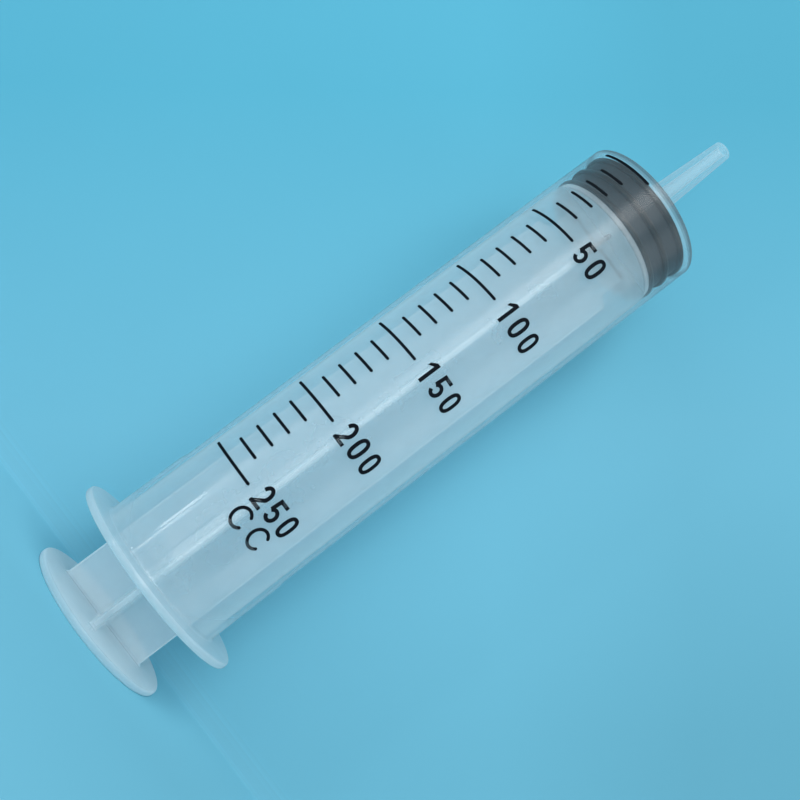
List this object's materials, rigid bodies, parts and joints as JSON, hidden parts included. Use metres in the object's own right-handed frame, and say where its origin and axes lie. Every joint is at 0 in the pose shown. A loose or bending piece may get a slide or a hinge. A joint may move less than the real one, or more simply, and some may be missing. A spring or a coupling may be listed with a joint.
{
  "type": "dispensing syringe",
  "caption": "Large plastic dispensing syringe: graduated barrel with finger flange and long tapered nozzle, cross-ribbed plunger rod and rubber stopper.",
  "frame": {"origin": "centre of the thumb plate's outer face, on the surface that the syringe stands on", "axes": "+Z along the syringe's axis from the thumb plate to the nozzle tip; -Y is the side with the printed scale"},
  "size_m": [0.0676, 0.0674, 0.2514],
  "materials": {
    "barrel": "milky translucent polypropylene, smooth",
    "plunger_rod": "natural polypropylene, satin",
    "stopper": "dark grey moulded rubber, matt"
  },
  "bodies": {
    "plunger": {"plunger_rod": "plunger_rod", "stopper": "stopper"},
    "barrel": {"barrel": "barrel"}
  },
  "joints": [
    {"name": "plunger_stroke", "type": "slide", "parent": "plunger", "child": "barrel", "axis": [0, 0, 1], "range_m": [0, 0.15043]}
  ]
}
